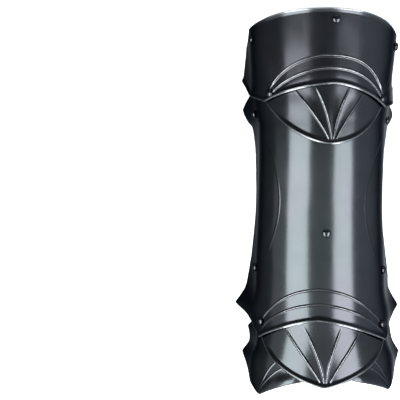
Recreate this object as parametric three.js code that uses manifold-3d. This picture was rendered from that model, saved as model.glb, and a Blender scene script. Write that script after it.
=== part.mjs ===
// Greave: the plate armour of one shin, lying on its back edges with the front of the shin up.
// x runs across the leg, y from the ankle to the knee, z from the ground to the front. Millimetres.
import * as THREE from 'three';
import { mergeVertices } from 'three/addons/utils/BufferGeometryUtils.js';
import Module from 'manifold-3d';

const wasm = await Module();
wasm.setup();

// Sheet steel, and the step from one overlapping plate to the next
const SHEET = 1.2;
const LAYER = 2.5;

// Layers, counted outwards from the shin plate
const LAYER_OF = { top: 2, upperPetal: 1, shin: 0, lowerPetal: -1, bottom: -2 };

// Cross-sections along the leg. limb: half of the greatest width. crest: height of the front.
// left, right: how far the sides turn out, from a girth on the shoulder to the back edge. edge: its height.
// slide: how far the plates' middle line slides sideways over the form. lean: sideways bend of the section.
// The sheet is about QUARTER_LENGTH long from the crest to the limb. MIDDLE brings the whole to the origin.
const LIMB_HEIGHT = 40;
const QUARTER_LENGTH = 98;
const MIDDLE = { x: -0.74, y: 1.37 };
const FLARE = { from: 0.5, power: 2 };
const SECTIONS = [
  { y: -190, limb: 72, crest: 106, left: 9, right: 11, edge: 20, slide: -2.2, lean: 1.5 },
  { y: -164, limb: 72, crest: 103, left: 10.5, right: 14.5, edge: 11, slide: -2.3, lean: 1.4 },
  { y: -152, limb: 70, crest: 101.7, left: 13, right: 18.5, edge: 6, slide: -2.6, lean: 1.4 },
  { y: -140, limb: 67, crest: 100.3, left: 8.5, right: 15, edge: 6, slide: -2.8, lean: 1.4 },
  { y: -122, limb: 62.5, crest: 98.4, left: 15, right: 17, edge: 6, slide: -3.2, lean: 0.9 },
  { y: -112, limb: 62, crest: 97.6, left: 18.5, right: 21, edge: 3, slide: -3.4, lean: 0.7 },
  { y: -104, limb: 61, crest: 97, left: 23.5, right: 23, edge: 0, slide: -3.2, lean: 0.5 },
  { y: -96, limb: 60.6, crest: 96.5, left: 19, right: 19, edge: 0, slide: -2.8, lean: 0.4 },
  { y: -86, limb: 60.4, crest: 96.2, left: 13, right: 14, edge: 4, slide: -2.4, lean: 0.3 },
  { y: -72, limb: 60.3, crest: 96, left: 10, right: 12.5, edge: 9, slide: -1.8, lean: 0.2 },
  { y: -45, limb: 60.2, crest: 96, left: 6.5, right: 8.5, edge: 18, slide: 0, lean: 0.1 },
  { y: -5, limb: 60, crest: 97, left: 3.5, right: 4, edge: 25, slide: 2.3, lean: 0.3 },
  { y: 50, limb: 60, crest: 99.5, left: 4, right: 7, edge: 16, slide: 4.6, lean: 1.1 },
  { y: 72, limb: 60.2, crest: 100, left: 6, right: 10.5, edge: 8, slide: 4.6, lean: 1.4 },
  { y: 79, limb: 60.3, crest: 100.1, left: 7.5, right: 12, edge: 3, slide: 4.6, lean: 1.5 },
  { y: 84, limb: 60.5, crest: 100.2, left: 11.5, right: 15, edge: 0, slide: 4.7, lean: 1.6 },
  { y: 95, limb: 61, crest: 100.4, left: 16, right: 18, edge: 0, slide: 4.9, lean: 1.7 },
  { y: 105, limb: 61.3, crest: 100.6, left: 16.5, right: 12.5, edge: 3, slide: 5.1, lean: 1.9 },
  { y: 121, limb: 62, crest: 101, left: 11.5, right: 9, edge: 4, slide: 5.6, lean: 2.1 },
  { y: 153, limb: 65, crest: 102, left: 5.5, right: 6, edge: 20, slide: 5.9, lean: 2.7 },
  { y: 190, limb: 67, crest: 104, left: 3.5, right: 5, edge: 34, slide: 5.9, lean: 3.4 },
];

// Pivot lines of the knee and ankle lames. girth is 0 at the crest, 1 at the limb and 2 at the back edge.
const KNEE_PIVOT = { girth: 55.4 / 90, y: 104 };
const ANKLE_PIVOT = { girth: 68 / 90, y: -117 };

// The plates hang a little askew, with the right side lower: the whole of the top plate, and the two ends of
// the shin plate. Its ankle end is also turned round the leg, and the bottom plate's corners hang the other
// way.
const TOP_ASKEW = 4;
const KNEE_ASKEW = { low: 3.6, from: 60, full: 95 };
const ANKLE_ASKEW = { low: 1.5, from: 45, full: 80 };
const ANKLE_TURN = { round: -0.04, from: -60, full: -10, fadeFrom: 0.6 };
const BOTTOM_ASKEW = { low: -3.4, from: 0.68, to: 1.4 };

// The side creases of the shin plate bow in towards the crest at the waist
const CREASE = { waist: 43.3 / 90, end: 68.5 / 90, reach: 62, lift: 0.4 };

// Columns of a plate: from the crest to its corner line, on to the limb, and down the wall
const COLUMNS = { front: 6, shoulder: 4, wall: 3 };

// Raised arcs: half of the width at the crest, at the corner line and at the wing, and height.
// On the way from the crest to the corner line they sink before the pivot rivets, and on the bottom plate
// they rise where they come out from under the petal.
const ARC = { half: 1.5, cornerHalf: 0.5, wingHalf: 0.5, lift: 1 };
const LOW_ARC_LIFT = 0.8;
const ARC_SINKS = { from: 0.55, to: 0.9 };
const ARC_RISES = { from: 0.45, to: 0.7 };

// Height of the turned lower edges. On a petal it dies out between two shares of its side, under the plate
// above.
const EDGE_LIFT = 0.9;
const PETAL_EDGE_FADE = { from: 0.62, to: 0.82 };

// Rows of the plates from the knee side to the ankle side: y at the crest, at the corner line and at the
// wing, the bow of the row over the front, the sweep of the row along the wall, and the lift of the sheet
const TOP_ROWS = [
  { centre: 184, corner: 176.8, wing: 153, bow: 2, sweep: 0.9, lift: 1.2 },
  { centre: 181.8, corner: 174.4, wing: 152.2, bow: 2, sweep: 0.9, lift: 0 },
  { centre: 166, corner: 152, wing: 148, bow: 2, sweep: 0.9, lift: 0 },
  { centre: 152, corner: 128, wing: 144, bow: 2.1, sweep: 0.9, lift: 0 },
  ...arcRows({ centre: 139.7, corner: 109, wing: 138, bow: 2.3, sweep: 0.9, lift: ARC.lift }),
  ...arcRows({ centre: 128, corner: 102.5, wing: 129, bow: 2, sweep: 0.9, lift: ARC.lift }),
  { centre: 118, corner: 99.4, wing: 125, bow: 1.5, sweep: 0.85, lift: 0 },
  { centre: 113.4, corner: 96.3, wing: 121, bow: 1.45, sweep: 0.85, lift: EDGE_LIFT },
];
const SHIN_ROWS = [
  { centre: 98, corner: 121, wing: 92, bow: 2, sweep: 1.2, lift: 0 },
  { centre: 91.5, corner: 106.5, wing: 89.3, bow: 2, sweep: 1.1, lift: 0 },
  { centre: 85, corner: 92, wing: 86.5, bow: 2, sweep: 1, lift: 0 },
  { centre: 73, corner: 77, wing: 79, bow: 2, sweep: 1, lift: 0 },
  ...[60, 42, 22, 2, -16, -32, -46].map((y) => (
    { centre: y, corner: y, wing: y, bow: 1, sweep: 1, lift: 0 }
  )),
  { centre: -58, corner: -66, wing: -68, bow: 2, sweep: 1, lift: 0 },
  { centre: -70, corner: -90, wing: -86, bow: 2, sweep: 1, lift: 0 },
  ...arcRows({ centre: -83, corner: -118.5, wing: -92, bow: 2, sweep: 0.9, lift: ARC.lift }),
  ...arcRows({ centre: -97.2, corner: -125.5, wing: -97, bow: 1.9, sweep: 0.9, lift: ARC.lift }),
  { centre: -107.8, corner: -129, wing: -100, bow: 1.4, sweep: 0.8, lift: 0 },
  { centre: -112.4, corner: -132.5, wing: -103, bow: 1.35, sweep: 0.75, lift: EDGE_LIFT },
];
const BOTTOM_ROWS = [
  { centre: -122, corner: -108, wing: -126, bow: 2, sweep: 1, lift: 0 },
  { centre: -127, corner: -130, wing: -131, bow: 2, sweep: 1, lift: 0 },
  { centre: -132, corner: -156, wing: -137, bow: 2.6, sweep: 0.7, lift: 0 },
  ...arcRows({ centre: -138, corner: -180, wing: -141, bow: 3, sweep: 0.85, lift: LOW_ARC_LIFT }),
  ...arcRows({ centre: -151, corner: -182.3, wing: -146, bow: 2.8, sweep: 0.85, lift: LOW_ARC_LIFT }),
  { centre: -162.4, corner: -183.6, wing: -148.5, bow: 1.6, sweep: 0.85, lift: 0 },
  { centre: -167, corner: -184.5, wing: -151, bow: 1.5, sweep: 0.85, lift: EDGE_LIFT },
];
// Girths of the bottom plate's corners and of the top plate's lower corners. The top plate's corner line
// turns out to them between two places along the leg.
const BOTTOM_CORNER = 66 / 90;
const TOP_CORNER = { girth: 62 / 90, edge: 113.4, above: 124 };

// Petals: y of the upper edge and of the lower edge at the crest and at the side, and the girth of the side
const UPPER_PETAL = {
  top: 123, topSide: 111, tip: 56.5, tipSide: 97, side: 62 / 90, topBow: 2, tipBow: 1.8,
};
const LOWER_PETAL = {
  top: -106, topSide: -108, tip: -175, tipSide: -127, side: 76 / 90, topBow: 2, tipBow: 1.45,
};
const PETAL_RISES = [1, 0.86, 0.7, 0.54, 0.38, 0.22, 0.08, 0];

// Ribs of a petal, as shares of its side girth at the lower edge and at the upper edge. bow is the rib's
// curve. They rise just above the tip, and die out under the plate above, each between two shares of the way
// up.
const RIB = {
  half: 0.022, tipHalf: 0.006, lift: 0.9, riseFrom: 0.03, riseTo: 0.12, fadeFrom: 0.62, fadeTo: 0.86,
};
const INNER_RIB = { low: 0.01, high: 0.33, bow: 1.8 };
const OUTER_RIB = { low: 0.032, high: 0.65, bow: 1.3 };
const PETAL_COLUMNS = [
  { low: 0, high: 0, bow: 1, lift: 0 },
  ...ribColumns(INNER_RIB),
  ...ribColumns(OUTER_RIB),
  { low: 0.25, high: 0.74, bow: 1.1, lift: 0 },
  { low: 0.43, high: 0.81, bow: 1, lift: 0 },
  { low: 0.62, high: 0.87, bow: 1, lift: 0 },
  { low: 0.81, high: 0.93, bow: 1, lift: 0 },
  { low: 1, high: 1, bow: 1, lift: 0 },
];

// Rivets: a domed head over a short rim, a shank through the plates and a flat inner end.
// Pivot heads stand off a little, so that the plate under them can turn.
const RIVET = { head: 4.1, rim: 0.4, dome: 2.3, domeSteps: 3, shank: 2, tail: 3.2, tailDepth: 1, sides: 10 };
const HOLE_CLEARANCE = 0.7;
const DRILL_OVERRUN = 4;
const SEAT_GAP = 0.3;
const PIVOT_GAP = 0.7;
const TAIL_GAP = 0.8;
const PAIRS = [
  { name: 'top', girth: 0.9, y: 159, ...inPlate(LAYER_OF.top) },
  { name: 'knee', ...KNEE_PIVOT, outer: LAYER_OF.top, inner: LAYER_OF.shin, seat: PIVOT_GAP },
  { name: 'shin_upper', girth: 1.17, y: 86.5, ...inPlate(LAYER_OF.shin), seat: PIVOT_GAP },
  { name: 'shin_lower', girth: 0.99, turn: -0.12, y: -65, ...inPlate(LAYER_OF.shin) },
  { name: 'ankle', ...ANKLE_PIVOT, outer: LAYER_OF.shin, inner: LAYER_OF.bottom, seat: PIVOT_GAP },
];
const RIVETS = [
  { name: 'rivet_top_centre', girth: 0, y: 174, ...inPlate(LAYER_OF.top) },
  { name: 'rivet_shin_centre', girth: 0, y: -28.6, ...inPlate(LAYER_OF.shin) },
  ...PAIRS.flatMap((pair) => [
    oneOfPair(pair, 'left', (pair.turn ?? 0) - pair.girth),
    oneOfPair(pair, 'right', (pair.turn ?? 0) + pair.girth),
  ]),
];

// A rivet that holds one plate
function inPlate(layer) {
  return { outer: layer, inner: layer, seat: SEAT_GAP };
}

// The left or right rivet of a pair, moved with its outer plate
function oneOfPair(pair, side, girth) {
  const askew = pair.outer === LAYER_OF.top ? topAskew : shinAskew;
  const move = askew(pair.y, girth);
  return { ...pair, name: `rivet_${pair.name}_${side}`, girth: girth + move.round, y: pair.y + move.along };
}

// A raised arc is three rows: its two feet and its ridge between them
function arcRows(arc) {
  const foot = (way) => ({
    ...arc,
    centre: arc.centre + way * ARC.half,
    corner: arc.corner + way * ARC.cornerHalf,
    wing: arc.wing + way * ARC.wingHalf,
    lift: 0,
  });
  return [foot(1), arc, foot(-1)];
}

// A rib is three columns: its two feet and its ridge between them
function ribColumns(rib) {
  const foot = (way) => ({
    ...rib,
    low: rib.low + way * RIB.tipHalf,
    high: rib.high + way * RIB.half,
    lift: 0,
  });
  return [foot(-1), { ...rib, lift: RIB.lift }, foot(1)];
}

// A smooth curve through one column of the section table
function along(column, y) {
  const last = SECTIONS.length - 2;
  let i = SECTIONS.findIndex((row) => row.y > y) - 1;
  i = i < -1 ? last : Math.max(0, Math.min(last, i));
  const slope = (k) => {
    const a = SECTIONS[Math.max(0, k - 1)];
    const b = SECTIONS[Math.min(SECTIONS.length - 1, k + 1)];
    return (b[column] - a[column]) / (b.y - a.y);
  };
  const span = SECTIONS[i + 1].y - SECTIONS[i].y;
  const t = (y - SECTIONS[i].y) / span;
  const h = t * t * (3 - 2 * t);
  const startPull = t * (1 - t) * (1 - t) * span * slope(i);
  const endPull = t * t * (1 - t) * span * slope(i + 1);
  return SECTIONS[i][column] * (1 - h) + SECTIONS[i + 1][column] * h + startPull - endPull;
}

// A point of the greave's form: half an ellipse over the shin, then a wall. Both turn out to the back edge.
// depth moves the point out along the section's normal, and on the wall straight out to the side.
function formPoint(girth, y, depth) {
  const limb = along('limb', y);
  const rise = along('crest', y) - LIMB_HEIGHT;
  const reach = Math.abs(girth);
  const side = Math.sign(girth);
  const wall = LIMB_HEIGHT - Math.max(0, along('edge', y));
  const drop = wall * Math.max(0, reach - 1);
  const start = FLARE.from * QUARTER_LENGTH;
  const sheet = QUARTER_LENGTH * Math.min(reach, 1) + drop;
  const out = Math.max(0, sheet - start) / (QUARTER_LENGTH + wall - start);
  const flare = along(side < 0 ? 'left' : 'right', y) * out ** FLARE.power;
  const bend = side * flare + along('lean', y) + MIDDLE.x;
  if (reach > 1) {
    return new THREE.Vector3(side * (limb + depth) + bend, y + MIDDLE.y, LIMB_HEIGHT - drop);
  }
  const turn = (girth * Math.PI) / 2;
  const angle = turn + (along('slide', y) / limb) * Math.cos(turn) ** 2;
  const across = Math.sin(angle);
  const up = Math.cos(angle);
  const length = Math.hypot(rise * across, limb * up);
  const x = limb * across + (depth * rise * across) / length;
  const z = rise * up + (depth * limb * up) / length;
  return new THREE.Vector3(x + bend, y + MIDDLE.y, LIMB_HEIGHT + z);
}

// The outward normal of the form, from two small steps along the surface
function formNormal(girth, y) {
  const step = 0.01;
  const across = formPoint(girth + step, y, 0).sub(formPoint(girth - step, y, 0));
  const down = formPoint(girth, y - 1, 0).sub(formPoint(girth, y + 1, 0));
  return down.cross(across).normalize();
}

// A closed sheet between an outer grid and an inner grid of points, with its four edges closed
function sheetSolid(outer, inner) {
  const rows = outer.length;
  const columns = outer[0].length;
  const position = [...outer.flat(), ...inner.flat()].flatMap((p) => [p.x, p.y, p.z]);
  const out = (i, j) => i * columns + j;
  const within = (i, j) => rows * columns + i * columns + j;
  const index = [];
  const quad = (a, b, c, d) => index.push(a, b, c, a, c, d);
  for (let i = 0; i < rows - 1; i += 1) {
    for (let j = 0; j < columns - 1; j += 1) {
      quad(out(i, j), out(i + 1, j), out(i + 1, j + 1), out(i, j + 1));
      quad(within(i, j), within(i, j + 1), within(i + 1, j + 1), within(i + 1, j));
    }
    const end = columns - 1;
    quad(out(i, 0), within(i, 0), within(i + 1, 0), out(i + 1, 0));
    quad(out(i, end), out(i + 1, end), within(i + 1, end), within(i, end));
  }
  for (let j = 0; j < columns - 1; j += 1) {
    const end = rows - 1;
    quad(out(0, j), out(0, j + 1), within(0, j + 1), within(0, j));
    quad(out(end, j), within(end, j), within(end, j + 1), out(end, j + 1));
  }
  const geometry = new THREE.BufferGeometry();
  geometry.setAttribute('position', new THREE.Float32BufferAttribute(position, 3));
  geometry.setIndex(index);
  return geometry;
}

// Both faces of a sheet: place gives the girth, y and lift of grid point (i, j)
function sheetFromGrid(rows, columns, layer, place) {
  const face = (inset) => Array.from({ length: rows }, (_row, i) => (
    Array.from({ length: columns }, (_column, j) => {
      const { girth, y, lift } = place(i, j);
      return formPoint(girth, y, layer * LAYER + lift - inset);
    })
  ));
  return sheetSolid(face(0), face(SHEET));
}

// Girths of one side's columns for a given corner line
function sideGirths(corner) {
  const steps = (count, from, to) => (
    Array.from({ length: count }, (_, k) => from + ((to - from) * (k + 1)) / count)
  );
  return [
    ...steps(COLUMNS.front, 0, corner),
    ...steps(COLUMNS.shoulder, corner, 1),
    ...steps(COLUMNS.wall, 1, 2),
  ];
}

// y of a row at a girth: a bowed arch to the corner line, then a sweep along the wall to the wing
function rowY(row, girth, corner) {
  if (girth <= corner) {
    return row.centre + (row.corner - row.centre) * (girth / corner) ** row.bow;
  }
  return row.corner + (row.wing - row.corner) * ((girth - corner) / (2 - corner)) ** row.sweep;
}

// A plate from its table of rows. liftShare is the share of a row's lift at a share of the way to the corner
// line, ridgeLift the height of the crease along that line, and askew moves the plate on the leg.
function plate(rows, layer, cornerAt, liftShare, ridgeLift, askew) {
  const half = COLUMNS.front + COLUMNS.shoulder + COLUMNS.wall;
  return sheetFromGrid(rows.length, 2 * half + 1, layer, (i, j) => {
    const row = rows[i];
    const corner = cornerAt(row.centre);
    const k = Math.abs(j - half);
    const g = k === 0 ? 0 : sideGirths(corner)[k - 1];
    const crease = k === COLUMNS.front ? ridgeLift(row.centre) : 0;
    const lift = row.lift * liftShare(g / corner) + crease;
    const girth = j < half ? -g : g;
    const move = askew(row.centre, girth);
    return { girth: girth + move.round, y: rowY(row, g, corner) + move.along, lift };
  });
}

// A petal: columns fan out from the tip to the upper edge, and its ribs die out under the plate above it
function petal(form, layer) {
  const half = PETAL_COLUMNS.length - 1;
  return sheetFromGrid(PETAL_RISES.length, 2 * half + 1, layer, (i, j) => {
    const column = PETAL_COLUMNS[Math.abs(j - half)];
    const rise = PETAL_RISES[i];
    const share = column.low + (column.high - column.low) * rise ** column.bow;
    const low = form.tip + (form.tipSide - form.tip) * column.low ** form.tipBow;
    const high = form.top + (form.topSide - form.top) * column.high ** form.topBow;
    const risen = THREE.MathUtils.smoothstep(rise, RIB.riseFrom, RIB.riseTo);
    const rib = column.lift * risen * (1 - THREE.MathUtils.smoothstep(rise, RIB.fadeFrom, RIB.fadeTo));
    const edge = rise === 0 ? EDGE_LIFT * petalEdgeShare(share) : 0;
    const girth = share * form.side;
    return { girth: j < half ? -girth : girth, y: low + (high - low) * rise, lift: Math.max(rib, edge) };
  });
}

// Arcs that sink towards the pivots, and arcs that rise beside a petal
function sinking(share) {
  return 1 - THREE.MathUtils.smoothstep(share, ARC_SINKS.from, ARC_SINKS.to);
}

function rising(share) {
  return THREE.MathUtils.smoothstep(share, ARC_RISES.from, ARC_RISES.to) * (share > 1 ? 0 : 1);
}

// The share of a petal's turned edge that is left at a share of its side
function petalEdgeShare(share) {
  return 1 - THREE.MathUtils.smoothstep(share, PETAL_EDGE_FADE.from, PETAL_EDGE_FADE.to);
}

// How far the askew top plate, shin plate and bottom plate are moved round and along the leg
function topAskew(_y, girth) {
  return { round: 0, along: -TOP_ASKEW * THREE.MathUtils.clamp(girth, -1, 1) };
}

function shinAskew(y, girth) {
  const knee = THREE.MathUtils.smoothstep(y, KNEE_ASKEW.from, KNEE_ASKEW.full);
  const ankle = THREE.MathUtils.smoothstep(-y, ANKLE_ASKEW.from, ANKLE_ASKEW.full);
  const low = KNEE_ASKEW.low * knee + ANKLE_ASKEW.low * ankle;
  const turned = THREE.MathUtils.smoothstep(-y, ANKLE_TURN.from, ANKLE_TURN.full);
  const left = 1 - THREE.MathUtils.smoothstep(Math.abs(girth), ANKLE_TURN.fadeFrom, 1);
  return { round: ANKLE_TURN.round * turned * left, along: -low * THREE.MathUtils.clamp(girth, -1, 1) };
}

function bottomAskew(_y, girth) {
  const share = 1 - THREE.MathUtils.smoothstep(Math.abs(girth), BOTTOM_ASKEW.from, BOTTOM_ASKEW.to);
  return { round: 0, along: -BOTTOM_ASKEW.low * girth * share };
}

// The top plate's corner line runs through the knee pivots, and turns out to the corners of its lower edge
function topCorner(y) {
  const share = 1 - THREE.MathUtils.smoothstep(y, TOP_CORNER.edge, TOP_CORNER.above);
  return KNEE_PIVOT.girth + (TOP_CORNER.girth - KNEE_PIVOT.girth) * share;
}

// The crease's girth and height at a station of the shin plate
function creaseGirth(y) {
  return CREASE.waist + (CREASE.end - CREASE.waist) * Math.min(1, (y / CREASE.reach) ** 2);
}

function creaseLift(y) {
  return CREASE.lift * Math.max(0, 1 - (y / CREASE.reach) ** 2);
}

// A rivet's place: the outer face under its head, its axis, and the thickness that it holds together
function rivetSeat(rivet) {
  const axis = formNormal(rivet.girth, rivet.y);
  const seat = formPoint(rivet.girth, rivet.y, rivet.outer * LAYER);
  const stack = (rivet.outer - rivet.inner) * LAYER + SHEET;
  const turn = new THREE.Quaternion().setFromUnitVectors(new THREE.Vector3(0, 1, 0), axis);
  return { seat, turn, stack };
}

// A rivet turned about its axis, with its seat at height 0
function rivetGeometry(rivet, stack) {
  const under = rivet.seat;
  const rim = under + RIVET.rim;
  const inner = -stack - TAIL_GAP;
  const dome = Array.from({ length: RIVET.domeSteps }, (_, k) => {
    const angle = (k / RIVET.domeSteps) * (Math.PI / 2);
    return new THREE.Vector2(RIVET.head * Math.cos(angle), rim + RIVET.dome * Math.sin(angle));
  });
  const profile = [
    new THREE.Vector2(0, inner - RIVET.tailDepth),
    new THREE.Vector2(RIVET.tail, inner - RIVET.tailDepth),
    new THREE.Vector2(RIVET.tail, inner),
    new THREE.Vector2(RIVET.shank, inner),
    new THREE.Vector2(RIVET.shank, under),
    new THREE.Vector2(RIVET.head, under),
    ...dome,
    new THREE.Vector2(0, rim + RIVET.dome),
  ];
  return new THREE.LatheGeometry(profile, RIVET.sides);
}

// A solid for joining and cutting, from a closed geometry
function toSolid(geometry) {
  const bare = geometry.clone();
  bare.deleteAttribute('normal');
  bare.deleteAttribute('uv');
  const merged = mergeVertices(bare, 1e-4);
  const vertProperties = new Float32Array(merged.attributes.position.array);
  const triVerts = new Uint32Array(merged.index.array);
  return new wasm.Manifold(new wasm.Mesh({ numProp: 3, vertProperties, triVerts }));
}

function toGeometry(solid) {
  const mesh = solid.getMesh();
  const geometry = new THREE.BufferGeometry();
  geometry.setAttribute('position', new THREE.BufferAttribute(new Float32Array(mesh.vertProperties), 3));
  geometry.setIndex(new THREE.BufferAttribute(new Uint32Array(mesh.triVerts), 1));
  geometry.computeVertexNormals();
  return geometry;
}

// A plate with the holes of every rivet that passes through its layer
function pierced(geometry, layer, rivets) {
  let solid = toSolid(geometry);
  for (const rivet of rivets.filter((r) => r.outer >= layer && r.inner <= layer)) {
    const { seat, turn, stack } = rivetSeat(rivet);
    const radius = RIVET.shank + HOLE_CLEARANCE;
    const drill = new THREE.CylinderGeometry(radius, radius, stack + 2 * DRILL_OVERRUN, RIVET.sides);
    drill.translate(0, -stack / 2, 0);
    drill.applyQuaternion(turn);
    drill.translate(seat.x, seat.y, seat.z);
    solid = solid.subtract(toSolid(drill));
  }
  return toGeometry(solid);
}

// Blackened steel for the plates, worn bright on the rivet heads
function blackSteel() {
  return new THREE.MeshStandardMaterial({ color: 0x2a2e33, roughness: 0.35, metalness: 1 });
}

function rivetSteel() {
  return new THREE.MeshStandardMaterial({ color: 0x4a4d52, roughness: 0.3, metalness: 1 });
}

const none = () => 0;
const topPlate = plate(TOP_ROWS, LAYER_OF.top, topCorner, sinking, none, topAskew);
const shinPlate = plate(SHIN_ROWS, LAYER_OF.shin, creaseGirth, sinking, creaseLift, shinAskew);
const bottomPlate = plate(BOTTOM_ROWS, LAYER_OF.bottom, () => BOTTOM_CORNER, rising, none, bottomAskew);

// Rivets with a positive y are at the knee end and the others at the ankle end
const kneeRivets = RIVETS.filter((rivet) => rivet.y > 0);
const ankleRivets = RIVETS.filter((rivet) => rivet.y < 0);
const PLATES = [
  { name: 'top_plate', layer: LAYER_OF.top, sheet: topPlate, rivets: kneeRivets },
  {
    name: 'upper_petal',
    layer: LAYER_OF.upperPetal,
    sheet: petal(UPPER_PETAL, LAYER_OF.upperPetal),
    rivets: kneeRivets,
  },
  { name: 'shin_plate', layer: LAYER_OF.shin, sheet: shinPlate, rivets: RIVETS },
  {
    name: 'lower_petal',
    layer: LAYER_OF.lowerPetal,
    sheet: petal(LOWER_PETAL, LAYER_OF.lowerPetal),
    rivets: ankleRivets,
  },
  { name: 'bottom_plate', layer: LAYER_OF.bottom, sheet: bottomPlate, rivets: ankleRivets },
];

const greave = new THREE.Group();

for (const { name, layer, sheet, rivets } of PLATES) {
  const mesh = new THREE.Mesh(pierced(sheet, layer, rivets), blackSteel());
  mesh.name = name;
  greave.add(mesh);
}

for (const rivet of RIVETS) {
  const { seat, turn, stack } = rivetSeat(rivet);
  const mesh = new THREE.Mesh(rivetGeometry(rivet, stack), rivetSteel());
  mesh.name = rivet.name;
  mesh.position.copy(seat);
  mesh.quaternion.copy(turn);
  greave.add(mesh);
}

export default greave;
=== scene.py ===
# Greave: the blackened plate armour of one shin, as fine sheets and rivets over its frame.
import math

import bpy
import numpy as np
from bpy.props import FloatProperty, FloatVectorProperty, PointerProperty
from bpy.types import Operator, Panel, PropertyGroup
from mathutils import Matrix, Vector


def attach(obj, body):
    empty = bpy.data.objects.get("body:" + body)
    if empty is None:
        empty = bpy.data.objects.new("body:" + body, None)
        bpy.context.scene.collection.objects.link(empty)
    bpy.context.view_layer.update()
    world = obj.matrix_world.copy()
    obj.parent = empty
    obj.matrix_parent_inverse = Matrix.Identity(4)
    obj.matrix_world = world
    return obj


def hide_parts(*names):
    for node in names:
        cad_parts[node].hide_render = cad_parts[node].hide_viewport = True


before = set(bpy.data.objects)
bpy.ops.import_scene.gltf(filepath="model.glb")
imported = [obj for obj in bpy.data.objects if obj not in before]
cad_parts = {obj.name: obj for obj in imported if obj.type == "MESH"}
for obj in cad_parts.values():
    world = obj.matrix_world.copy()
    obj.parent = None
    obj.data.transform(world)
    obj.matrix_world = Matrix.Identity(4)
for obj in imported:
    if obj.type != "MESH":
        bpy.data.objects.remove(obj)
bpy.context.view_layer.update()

bl_info = {
    "name": "Greave",
    "version": (1, 0, 0),
    "blender": (4, 5, 0),
    "location": "View3D > Sidebar > Greave",
    "description": "Builds the plates, petals and rivets of a plate greave, and its studio stage",
    "category": "Add Mesh",
}

# Shapes below are in millimetres, and a mesh is in metres
MM = 0.001

# Layers, counted outwards from the shin plate
TOP_LAYER = 2
UPPER_PETAL_LAYER = 1
SHIN_LAYER = 0
LOWER_PETAL_LAYER = -1
BOTTOM_LAYER = -2

# Cross-sections along the leg. limb: half of the greatest width. crest: height of the front.
# left, right: how far the sides turn out, from a girth on the shoulder to the back edge. edge: its height.
# slide: how far the plates' middle line slides sideways over the form. lean: sideways bend of the section.
LIMB_HEIGHT = 40
FLARE_FROM = 0.5
FLARE_POWER = 2
SECTION_COLUMNS = ("y", "limb", "crest", "left", "right", "edge", "slide", "lean")
SECTION_ROWS = (
    (-190, 72, 106, 9, 11, 20, -2.2, 1.5),
    (-164, 72, 103, 10.5, 14.5, 11, -2.3, 1.4),
    (-152, 70, 101.7, 13, 18.5, 6, -2.6, 1.4),
    (-140, 67, 100.3, 8.5, 15, 6, -2.8, 1.4),
    (-122, 62.5, 98.4, 15, 17, 6, -3.2, 0.9),
    (-112, 62, 97.6, 18.5, 21, 3, -3.4, 0.7),
    (-104, 61, 97, 23.5, 23, 0, -3.2, 0.5),
    (-96, 60.6, 96.5, 19, 19, 0, -2.8, 0.4),
    (-86, 60.4, 96.2, 13, 14, 4, -2.4, 0.3),
    (-72, 60.3, 96, 10, 12.5, 9, -1.8, 0.2),
    (-45, 60.2, 96, 6.5, 8.5, 18, 0, 0.1),
    (-5, 60, 97, 3.5, 4, 25, 2.3, 0.3),
    (50, 60, 99.5, 4, 7, 16, 4.6, 1.1),
    (72, 60.2, 100, 6, 10.5, 8, 4.6, 1.4),
    (79, 60.3, 100.1, 7.5, 12, 3, 4.6, 1.5),
    (84, 60.5, 100.2, 11.5, 15, 0, 4.7, 1.6),
    (95, 61, 100.4, 16, 18, 0, 4.9, 1.7),
    (105, 61.3, 100.6, 16.5, 12.5, 3, 5.1, 1.9),
    (121, 62, 101, 11.5, 9, 4, 5.6, 2.1),
    (153, 65, 102, 5.5, 6, 20, 5.9, 2.7),
    (190, 67, 104, 3.5, 5, 34, 5.9, 3.4),
)
SECTIONS = dict(zip(SECTION_COLUMNS, np.array(SECTION_ROWS, float).T))

# Length of the unrolled sheet from the crest to the limb. girth is 0 at the crest, 1 at the limb
# and 2 at the back edge.
QUARTER_LENGTH = 98

# Brings the middle of the whole to the origin
MIDDLE_X = -0.74
MIDDLE_Y = 1.37

# Pivots of the knee and ankle plates, and the corners of the bottom and top plates
KNEE_GIRTH = 55.4 / 90
KNEE_Y = 104
ANKLE_GIRTH = 68 / 90
ANKLE_Y = -117
BOTTOM_CORNER = 66 / 90
TOP_CORNER = 62 / 90
TOP_CORNER_SPAN = (113.4, 124)

# The plates hang a little askew, with the right side lower: the whole of the top plate, and the two ends of
# the shin plate. Its ankle end is also turned round the leg, and the bottom plate's corners hang the other
# way.
TOP_ASKEW = 4
KNEE_ASKEW = 3.6
KNEE_ASKEW_SPAN = (60, 95)
ANKLE_ASKEW = 1.5
ANKLE_ASKEW_SPAN = (45, 80)
ANKLE_TURN = -0.04
ANKLE_TURN_SPAN = (-60, -10)
ANKLE_TURN_FROM = 0.6
BOTTOM_ASKEW = -3.4
BOTTOM_ASKEW_FADE = (0.68, 1.4)

# The side creases of the shin plate bow in towards the crest at the waist
CREASE_WAIST = 43.3 / 90
CREASE_END = 68.5 / 90
CREASE_REACH = 62
CREASE_TOP = 84

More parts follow.
